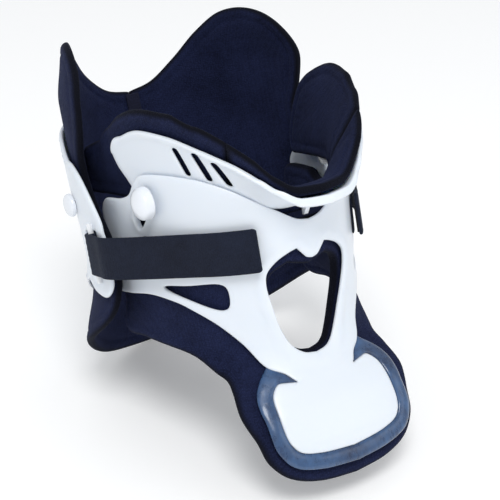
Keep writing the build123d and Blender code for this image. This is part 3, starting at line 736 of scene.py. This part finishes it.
def chinPoint(low):
    # places (u, v, offset): u mm round from the chin, v mm up the section from its foot
    def place(u, v, offset):
        angle = u / chin["degree"]
        lowAt = low(np.abs(angle))
        (r0, z0), (r1, z1), (r2, z2) = chinLine(angle, lowAt)
        first = np.hypot(r1 - r0, z1 - z0)
        second = np.hypot(r2 - r1, z2 - z1)
        d0 = ((r1 - r0) / first, (z1 - z0) / first)
        d1 = ((r2 - r1) / second, (z2 - z1) / second)
        past = v - first
        soft = np.minimum(np.minimum(chin["soften"], first * 0.9), second * 0.9)
        blend = np.clip((past + soft) / (2 * soft), 0, 1)
        r = r0 + d0[0] * np.minimum(v, first) + d1[0] * np.maximum(past, 0)
        z = z0 + d0[1] * np.minimum(v, first) + d1[1] * np.maximum(past, 0)
        bulge = soft * (blend * (1 - blend))
        r = r + (d1[0] - d0[0]) * bulge
        z = z + (d1[1] - d0[1]) * bulge
        tr = d0[0] * (1 - blend) + d1[0] * blend
        tz = d0[1] * (1 - blend) + d1[1] * blend
        size = np.hypot(tr, tz)
        r = r + tz / size * offset
        z = z - tr / size * offset
        turn = np.radians(angle)
        return np.stack([r * np.sin(turn), -r * np.cos(turn), z], -1)
    return place


def chinLength(angle, low):
    (r0, z0), (r1, z1), (r2, z2) = chinLine(angle, low)
    return float(np.hypot(r1 - r0, z1 - z0) + np.hypot(r2 - r1, z2 - z1))


def skirtLow(angle):
    edge = monotone(collar["chinSections"], 3, angle)
    deep = 1 + (chin["skirt"] - 1) * np.clip((angle - 11) / 6, 0, 1)
    return edge - deep


def onChin(point, low):
    # (u, v) of a place on the support's outside
    x, y, z = point
    return onChinAt(math.degrees(math.atan2(x, -y)), z, low)


def onChinAt(angle, z, low):
    foot, shoulder, rim = chinLine(angle, low(abs(angle)))
    first = float(np.hypot(shoulder[0] - foot[0], shoulder[1] - foot[1]))
    if z < shoulder[1]:
        return (angle * chin["degree"], first * (z - float(foot[1])) / (float(shoulder[1]) - float(foot[1])))
    second = float(np.hypot(rim[0] - shoulder[0], rim[1] - shoulder[1]))
    share = second * (z - float(shoulder[1])) / (float(rim[1]) - float(shoulder[1]))
    return (angle * chin["degree"], first + share)


def slotLoop(top, bottom, width, low):
    a, b = np.array(onChin(bottom, low)), np.array(onChin(top, low))
    along = (b - a) / np.linalg.norm(b - a)
    across = np.array([-along[1], along[0]])
    points = []
    for centre, start in ((b, 0), (a, math.pi)):
        for k in range(7):
            t = start + math.pi * k / 6
            points.append(centre + width / 2 * (across * -math.cos(t) + along * math.sin(t)))
    return loopOf([points + points[:1]], chin["slotStep"])


def chinSupport():
    degree = chin["degree"]
    angles = (0, 4, 8, 12, 16, 20, 25, 30, 36, 42, 48, 54, 60)
    top = [(a * degree, chinLength(a, float(skirtLow(a)))) for a in angles]
    rear = [onChin((x, y, z), skirtLow) for x, y, z in [(67, -29, 170.5), (67.5, -20, 168), (67, -15, 162),
                                                        (66, -15.5, 155), (64, -18.5, 148), (62.5, -22, 141),
                                                        (62, -27, 137)]]
    lower = [(a * degree, 0) for a in (58, 40, 20, 0)]
    half = np.vstack([smoothRun(top + rear, chin["edgeStep"])[:-1],
                      smoothRun([rear[-1], lower[0]], chin["edgeStep"])[:-1],
                      smoothRun(lower, chin["edgeStep"])])
    outer = mirrorLoop(half)
    holes = []
    for side in (1, -1):
        for a, b in [((51.8, -62.2, 162.7), (49.8, -66, 149.5)), ((46.6, -71.6, 159.6), (43.6, -76.4, 146)),
                     ((41.3, -79.5, 153.8), (37.2, -84.6, 142.5))]:
            holes.append(slotLoop(a, b, chin["slotWidth"], skirtLow) * [side, 1])

    def profile(u, v, d):
        near = d.min(0)
        rim = roundEdge(near, chin["edge"])
        full = np.array([chinLength(a, float(skirtLow(a))) for a in np.abs(u) / degree])
        ahead = chin["frontLip"] * np.exp(-(u / degree / chin["frontLipReach"]) ** 2)
        lip = (chin["lip"] + ahead) * np.exp(-((full - v) / chin["lipWidth"]) ** 4)
        half = collar["wall"] / 2
        return -half + (half + lip) * rim, -half - half * rim

    return makePlate("chinSupport", outer, holes, chinPoint(skirtLow), profile, chin["spacing"],
                     chin["rings"])


jaw = {"foot": 128, "footRise": 5, "riseFrom": 33, "riseOver": 6, "lowEnd": 60,
       "chinFoot": 119.5, "chinFootRise": 4.5, "chinRiseFrom": 13, "chinRiseOver": 4, "chinEnd": 23.6}


def jawLow(angle):
    return jaw["foot"] + jaw["footRise"] * np.clip((angle - jaw["riseFrom"]) / jaw["riseOver"], 0, 1)


def chinPadLow(angle):
    share = np.clip((angle - jaw["chinRiseFrom"]) / jaw["chinRiseOver"], 0, 1)
    return jaw["chinFoot"] + jaw["chinFootRise"] * share


def pastRim(angle):
    return float(monotone(collar["chinSections"], 4, angle))


def jawPad(side, name, node, angles, rear):
    # rear runs down the tail from the last of the angles, as (angle, height) pairs
    degree = chin["degree"]
    top = [(a * degree, chinLength(a, float(jawLow(a))) + pastRim(a)) for a in angles]
    tail = [onChinAt(a, z, jawLow) for a, z in rear]
    tail[-1] = (tail[-1][0], 0)
    first = top[0][0]
    foot = [tail[-1], (jaw["lowEnd"] * degree, 0), (first, 0)]
    loop = loopOf([top + tail, foot, [(first, 0), top[0]]], pad["edgeStep"])
    off = -(collar["wall"] + collar["jawGap"])
    piece = makePlate(name, loop * [side, 1], [], chinPoint(jawLow), padProfile(off, collar["jawPad"]),
                      pad["spacing"], pad["rings"])
    finishPiece(piece, "chin", "pad_fabric", [node])


def chinPad():
    degree = chin["degree"]
    angles = (0, 4, 8, 12, 16, 20, jaw["chinEnd"])
    top = [(a * degree, chinLength(a, float(chinPadLow(a))) + pastRim(a)) for a in angles]
    corner = (jaw["chinEnd"] * degree, 0)
    half = np.vstack([smoothRun([(0, 0), corner], pad["edgeStep"])[:-1],
                      smoothRun([corner, top[-1]], pad["edgeStep"])[:-1],
                      smoothRun(top[::-1], pad["edgeStep"])])
    off = -(collar["wall"] + collar["padGap"])
    piece = makePlate("chinPad", mirrorLoop(half), [], chinPoint(chinPadLow),
                      padProfile(off, collar["jawPad"]), pad["spacing"], pad["rings"])
    finishPiece(piece, "chin", "pad_fabric", ["chin_pad"])


rib = {"halfWidth": 1.2, "line": [(89.4, 119.6), (90.5, 128.0), (97.0, 127.5), (91.2, 119.6)]}


def chinRib(owner):
    # pointed rib under the middle of the support, one piece with it
    verts, faces = [], []
    for x in (-rib["halfWidth"], rib["halfWidth"]):
        verts += [tuple(p) for p in toRow([(x, -r, z) for r, z in rib["line"]])]
    for k in range(4):
        faces.append((k, (k + 1) % 4, 4 + (k + 1) % 4, 4 + k))
    faces += [(3, 2, 1, 0), (4, 5, 6, 7)]
    mesh = owner.data
    made = bmesh.new()
    made.from_mesh(mesh)
    placed = [made.verts.new(v) for v in verts]
    for face in faces:
        made.faces.new([placed[i] for i in face]).smooth = False
    made.to_mesh(mesh)
    made.free()
    return owner


finishPiece(chinRib(chinSupport()), "chin", "white_shell", ["chin_support"])
jawPad(1, "jawPadLeft", "jaw_pad_left", (23.3, 31, 37, 43, 50, 57, 64, 70, 75.5),
       [(80, 171), (84, 161), (87, 150), (88.5, 141), (88, 135), (86, 133)])
jawPad(-1, "jawPadRight", "jaw_pad_right",
       (23.3, 31, 37, 43, 50, 57, 64, 71, 78, 85, 92, 99, 106, 113, 120, 125),
       [(129, 150), (131, 145), (131, 139), (129, 135), (125, 133)])
chinPad()
print("chin support and pads made")

strap = {"low": 96.0, "width": 23.0, "thick": 2.0, "barRadius": 1.6, "clear": 0.08, "endTurn": 64.5,
         "shortEndTurn": 52.0, "patch": 1.0, "hook": 0.9, "lift": 0.6, "straight": 18.0}
hood = {"rise": 3.0, "run": 6.5, "fade": 4.0, "frontRise": 1.0}
backVents = {"angles": (-32, -16, 0, 16, 32), "height": 112.0, "length": 42.0, "width": 7.0, "spread": 90,
             "narrow": 0.86}
backEdge = {"bead": 0.7, "beadAt": 2.6, "beadWidth": 1.2, "slotRoom": 1,
            "slotHeight": 104, "rearHeight": 107}


def backShell():
    bottom = [atX(x, z, back) for x, z in [(0, 58), (25, 59), (45, 65), (56, 72)]]
    side = [atY(y, z, back) for y, z in [(28, 88), (12, 84.5), (-3, 83.5), (-8.5, 89), (-10, 98), (-9.3, 118),
                                         (-1, 137), (8, 149), (18, 155), (28, 157), (46, 167)]]
    top = [atX(x, z, back) for x, z in [(47, 171.5), (34, 170), (20, 167), (0, 166.5)]]
    half = smoothRun(bottom + side + top, shell["edgeStep"])
    bar = fromRow(barAt)
    reachOf = strap["barRadius"] + strap["clear"] + strap["thick"] + backEdge["slotRoom"]
    slotRear = atY(bar[1] + reachOf, backEdge["rearHeight"], back)[0]
    slotMiddle = strap["low"] + strap["width"] / 2
    holes = []
    for turn in (1, -1):
        u0, u1 = (atY(bar[1] + r, backEdge["slotHeight"], back)[0] * turn for r in (reachOf, -reachOf))
        z0 = strap["low"] - backEdge["slotRoom"]
        z1 = strap["low"] + strap["width"] + backEdge["slotRoom"]
        corners = [(u0, z0), (u1, z0), (u1, z1), (u0, z1)]
        holes.append(loopOf([[corners[i], corners[(i + 1) % 4]] for i in range(4)], 1.0))
    for angle in backVents["angles"]:
        x = backVents["spread"] * math.sin(math.radians(angle)) * backVents["narrow"]
        u = atX(x, backVents["height"], back)[0]
        halfRun, radius = backVents["length"] / 2 - backVents["width"] / 2, backVents["width"] / 2
        points = [(u + radius * math.cos(t), backVents["height"] + s * halfRun + radius * math.sin(t))
                  for s, t0 in ((1, 0), (-1, math.pi)) for t in [t0 + math.pi * k / 8 for k in range(9)]]
        holes.append(loopOf([points + points[:1]], 1.0))

    def profile(u, v, d):
        rim = roundEdge(d.min(0), shell["edge"])
        half = collar["wall"] / 2
        bead = backEdge["bead"] * np.exp(-((d[0] - backEdge["beadAt"]) / backEdge["beadWidth"]) ** 2)
        # the wall swells outwards behind each strap slot and covers the strap's turn
        behind = slotRear - np.abs(u)
        tall = np.exp(-(np.maximum(np.abs(v - slotMiddle) - strap["width"] / 2, 0) / hood["fade"]) ** 2)
        rear = hood["rise"] * np.exp(-(np.maximum(behind, 0) / hood["run"]) ** 2)
        swell = np.where(behind > -reachOf, rear, hood["frontRise"]) * tall
        return -half + (half + bead) * rim + swell, -half - half * rim + swell

    piece = makePlate("backShell", mirrorLoop(half), holes, lambda u, v, o: wallPoint(u, v, o, back), profile,
                      shell["spacing"], shell["rings"])
    return finishPiece(piece, "back_half", "white_shell", ["back_shell"])


def backPad(side, name, node):
    off = -(collar["wall"] + collar["padGap"])
    run = [atX(x, z, back, off) for x, z in [(0.1, 24), (30, 25.5), (54, 31)]]
    run += [atY(y, z, back, off) for y, z in [(40, 50), (18, 59.5), (3, 68), (-4, 76), (-7, 88), (-5, 108),
                                              (3, 125), (12, 143), (14, 157), (8, 170), (3, 187), (7, 200),
                                              (18, 211), (34, 217), (52, 216), (68, 206.5)]]
    run += [atX(x, z, back, off) for x, z in [(30, 192), (15, 181), (0.1, 177.5)]]
    loop = loopOf([run, [run[-1], run[0]]], pad["edgeStep"])
    piece = makePlate(name, loop * [side, 1], [], lambda u, v, o: wallPoint(u, v, o, back),
                      padProfile(off, collar["backPad"]), pad["spacing"], pad["rings"])
    finishPiece(piece, "back_half", "pad_fabric", [node])


tape = {"halfWidth": 5, "foot": 26, "top": 176.5, "gap": 0.1, "half": 0.5, "edge": 0.5, "stitchAt": 3.2,
        "stitchWidth": 0.5, "stitch": 0.25, "step": 1.2, "spacing": 1.6, "rings": (0.2, 0.5, 1.2)}


def backTape():
    off = -(collar["wall"] + collar["padGap"] + collar["backPad"] + tape["gap"])
    points = [(-tape["halfWidth"], tape["foot"]), (tape["halfWidth"], tape["foot"]),
              (tape["halfWidth"], tape["top"]), (-tape["halfWidth"], tape["top"])]
    loop = loopOf([[points[i], points[(i + 1) % 4]] for i in range(4)], tape["step"])

    def profile(u, v, d):
        rim = roundEdge(d[0], tape["edge"])
        stitch = tape["stitch"] * np.exp(-((np.abs(u) - tape["stitchAt"]) / tape["stitchWidth"]) ** 2)
        half = tape["half"]
        return off - half + half * rim, off - half - (half - stitch) * rim

    piece = makePlate("backSeamTape", loop, [], lambda u, v, o: wallPoint(u, v, o, back), profile,
                      tape["spacing"], tape["rings"])
    return finishPiece(piece, "back_half", "binding", ["back_seam_tape"])


backShell()
backPad(1, "backPadLeft", "back_pad_left")
backPad(-1, "backPadRight", "back_pad_right")
backTape()
print("back half made")


web = {"cornerCut": 1.2, "step": 1.2, "edge": 0.9, "hem": 0.12, "hemAt": 1.8, "hemWidth": 0.5,
       "spacing": 1.9, "rings": (0.15, 0.5, 0.9, 1.8), "pathStep": 1.5, "leaveBar": 9}


def strapPath(inner, endTurn):
    # plan of the strap's middle line, from round the bar to the free end, as (x, y)
    bar = fromRow(barAt)
    wide = collar["halfWidth"] + strap["patch"] + strap["hook"] + strap["lift"] + inner
    low, high = halfAxes(strap["low"], front)[1], halfAxes(strap["low"] + strap["width"], front)[1]
    deep = max(float(low), float(high)) + strap["patch"] + strap["hook"] + strap["lift"] + inner
    radius = strap["barRadius"] + strap["clear"] + inner
    points = [(bar[0] + radius * math.cos(t), bar[1] + radius * math.sin(t))
              for t in [math.radians(d) for d in range(330, -1, -15)]]
    leave = (bar[0] + radius, bar[1] - strap["straight"])
    u, v = leave[0] / wide, -leave[1] / deep
    start = math.atan2(v, u) + math.acos(1 / math.hypot(u, v))
    straight = [(leave[0], bar[1] - web["leaveBar"]), leave]
    ovals = [(wide * math.cos(t), -deep * math.sin(t)) for t in np.linspace(start, math.radians(endTurn), 14)]
    joined = np.array(points + straight + ovals)
    run = smoothRun(joined, web["pathStep"])
    along = np.concatenate([[0], np.cumsum(np.linalg.norm(np.diff(run, axis=0), axis=1))])
    return run, along


def makeStrap(side, name, node, body, endTurn):
    run, along = strapPath(strap["thick"] / 2, endTurn)

    def place(u, v, offset):
        x, y = np.interp(u, along, run[:, 0]), np.interp(u, along, run[:, 1])
        step = 1.0
        dx = np.interp(u + step, along, run[:, 0]) - np.interp(u - step, along, run[:, 0])
        dy = np.interp(u + step, along, run[:, 1]) - np.interp(u - step, along, run[:, 1])
        size = np.maximum(np.hypot(dx, dy), 1e-9)
        return np.stack([side * (x - dy / size * offset), y + dx / size * offset, strap["low"] + v], -1)

    length = along[-1]
    cut = web["cornerCut"]
    corners = [(0, 0), (length - cut, 0), (length, cut), (length, strap["width"] - cut),
               (length - cut, strap["width"]), (0, strap["width"])]
    loop = loopOf([[corners[i], corners[(i + 1) % 6]] for i in range(6)], web["step"])

    def profile(u, v, d):
        rim = roundEdge(d[0], web["edge"])
        hem = web["hem"] * np.exp(-((d[0] - web["hemAt"]) / web["hemWidth"]) ** 2)
        half = strap["thick"] / 2
        return (half - hem) * rim, -(half - hem) * rim

    piece = makePlate(name, loop, [], place, profile, web["spacing"], web["rings"])
    finishPiece(piece, body, "strap_web", [node])
    length = float(length) / 1000


rivet = {"headRadius": 8.9, "rise": 8.0, "steps": 64, "shank": 0.33}
backButton = {"radius": 6.5, "rise": 3.5}


def domed(name, node, body, radius, rise):
    # turned dome over the CAD piece's own head, facing out along x
    low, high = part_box(node)
    side = 1 if (low[0] + high[0]) > 0 else -1
    middle = [(low[k] + high[k]) / 2 for k in range(3)]
    base = (high[0] if side > 0 else low[0]) - side * rise / 1000
    inner = low[0] if side > 0 else high[0]
    lip = [(0.995, 0.0), (1.0, 0.10), (0.998, 0.22), (0.975, 0.36)]
    crown = [(math.cos(t) * 0.965, 0.42 + 0.58 * math.sin(t)) for t in np.linspace(0.06, math.pi / 2, 12)]
    shank = [(rivet["shank"], (inner - base) * side * 1000 / rise), (rivet["shank"], -0.02), (0.93, 0.0)]
    outline = [(r * radius, h * rise) for r, h in shank + lip + crown[:-1]]
    verts, faces = [], []
    for r, h in outline:
        for k in range(rivet["steps"]):
            t = 2 * math.pi * k / rivet["steps"]
            verts.append((base + side * h / 1000, middle[1] + r * math.cos(t) / 1000,
                          middle[2] + r * math.sin(t) / 1000))
    n = rivet["steps"]
    for ring in range(len(outline) - 1):
        for k in range(n):
            a, b = ring * n + k, ring * n + (k + 1) % n
            faces.append((a, b, b + n, a + n))
    last = len(outline) - 1
    verts.append((base + side * rise / 1000, middle[1], middle[2]))
    faces += [(last * n + k, last * n + (k + 1) % n, len(verts) - 1) for k in range(n)]
    verts.append((base + side * outline[0][1] / 1000, middle[1], middle[2]))
    faces += [((k + 1) % n, k, len(verts) - 1) for k in range(n)]
    piece = makePiece(name, verts, faces)
    return finishPiece(piece, body, "rivet_white", [node])


patch = {"pastEnd": 1.0, "length": 58, "lowInset": 0.8, "highInset": 2.6, "half": 0.5, "under": 0.48,
         "edge": 0.45, "step": 1.2, "spacing": 1.9, "rings": (0.2, 0.6)}


def loopPatch(side, name, node, endTurn):
    last = math.radians(endTurn + patch["pastEnd"])
    deep = halfAxes(strap["low"] + strap["width"] / 2, front)[1]
    reachY = -float(deep) * math.sin(last)
    low, high = strap["low"] + patch["lowInset"], strap["low"] + strap["width"] - patch["highInset"]
    ahead, behind = (atY(y, high, front)[0] for y in (reachY, reachY + patch["length"]))
    corners = [(behind, low), (ahead, low), (ahead, high), (behind, high)]
    loop = loopOf([[corners[i], corners[(i + 1) % 4]] for i in range(4)], patch["step"]) * [side, 1]

    def profile(u, v, d):
        rim = roundEdge(d[0], patch["edge"])
        return patch["half"] + patch["half"] * rim, patch["half"] - patch["under"] * rim

    piece = makePlate(name, loop, [], lambda u, v, o: wallPoint(u, v, o, front), profile, patch["spacing"],
                      patch["rings"])
    finishPiece(piece, "front_half", "loop_tape", [node])


loopPatch(1, "loopPatchLeft", "loop_patch_left", strap["shortEndTurn"])
loopPatch(-1, "loopPatchRight", "loop_patch_right", strap["endTurn"])
domed("chinRivetLeft", "chin_rivet_left", "front_half", rivet["headRadius"], rivet["rise"])
domed("chinRivetRight", "chin_rivet_right", "front_half", rivet["headRadius"], rivet["rise"])
domed("backButtonLeft", "back_button_left", "back_half", backButton["radius"], backButton["rise"])
domed("backButtonRight", "back_button_right", "back_half", backButton["radius"], backButton["rise"])
print("rivets made")
makeStrap(1, "strapLeft", "strap_left", "strap_left_body", strap["shortEndTurn"])
makeStrap(-1, "strapRight", "strap_right", "strap_right_body", strap["endTurn"])
print("straps made")

slotOf = {s["node"]: s["material_slot"] for s in frame["record"]["subparts"]}
for node, thing in frame["nodes"].items():
    if not thing.hide_render:
        for index in range(len(thing.material_slots)):
            thing.material_slots[index].material = finishes[slotOf[node]]
        if not thing.material_slots:
            print("no slot on", node)

stage = {"floor": 9.0, "world": 0.68, "key": 13.0, "fill": 2.0, "floorGlow": 0.13}


def makeFloor():
    size = stage["floor"] / 2
    corners = [(-size, -size, 0), (size, -size, 0), (size, size, 0), (-size, size, 0)]
    floor = makePiece("floor", corners, [(0, 1, 2, 3)])
    made = bpy.data.materials.new("paleFloor")
    made.use_nodes = True
    shader = made.node_tree.nodes["Principled BSDF"]
    shader.inputs["Base Color"].default_value = (0.96, 0.96, 0.96, 1)
    shader.inputs["Emission Color"].default_value = (1, 1, 1, 1)
    shader.inputs["Emission Strength"].default_value = stage["floorGlow"]
    shader.inputs["Roughness"].default_value = 0.7
    floor.data.materials.append(made)


def areaLight(name, place, target, size, power):
    data = bpy.data.lights.new(name, "AREA")
    data.shape = "DISK"
    data.size = size
    data.energy = power
    lamp = bpy.data.objects.new(name, data)
    lamp.location = place
    lamp.rotation_euler = (Vector(target) - Vector(place)).to_track_quat("-Z", "Y").to_euler()
    bpy.context.scene.collection.objects.link(lamp)


makeFloor()
world = bpy.data.worlds.new("studio")
world.use_nodes = True
world.node_tree.nodes["Background"].inputs[0].default_value = (0.96, 0.98, 1.0, 1)
world.node_tree.nodes["Background"].inputs[1].default_value = stage["world"]
bpy.context.scene.world = world
areaLight("key", (-0.45, -0.8, 1.5), (0, 0, 0.1), 0.7, stage["key"])
areaLight("fill", (0.9, -1.2, 0.8), (0, 0, 0.1), 1.0, stage["fill"])

cameraView = {"azimuth": -33.0, "elevation": 28.0, "distance": 0.8, "lens": 105.4, "aimHeight": 97.0}
aim = neckOrigin + np.array([0, 0, cameraView["aimHeight"] / 1000])
turn, rise = math.radians(cameraView["azimuth"]), math.radians(cameraView["elevation"])
away = np.array([math.sin(turn) * math.cos(rise), -math.cos(turn) * math.cos(rise), math.sin(rise)])
cameraData = bpy.data.cameras.new("camera")
cameraData.lens = cameraView["lens"]
cameraData.sensor_width = 36.0
camera = bpy.data.objects.new("camera", cameraData)
camera.location = Vector(aim + away * cameraView["distance"])
camera.rotation_euler = Vector(-away).to_track_quat("-Z", "Y").to_euler()
bpy.context.scene.collection.objects.link(camera)
bpy.context.scene.camera = camera
bpy.context.scene.view_settings.view_transform = "Standard"
print("stage set")
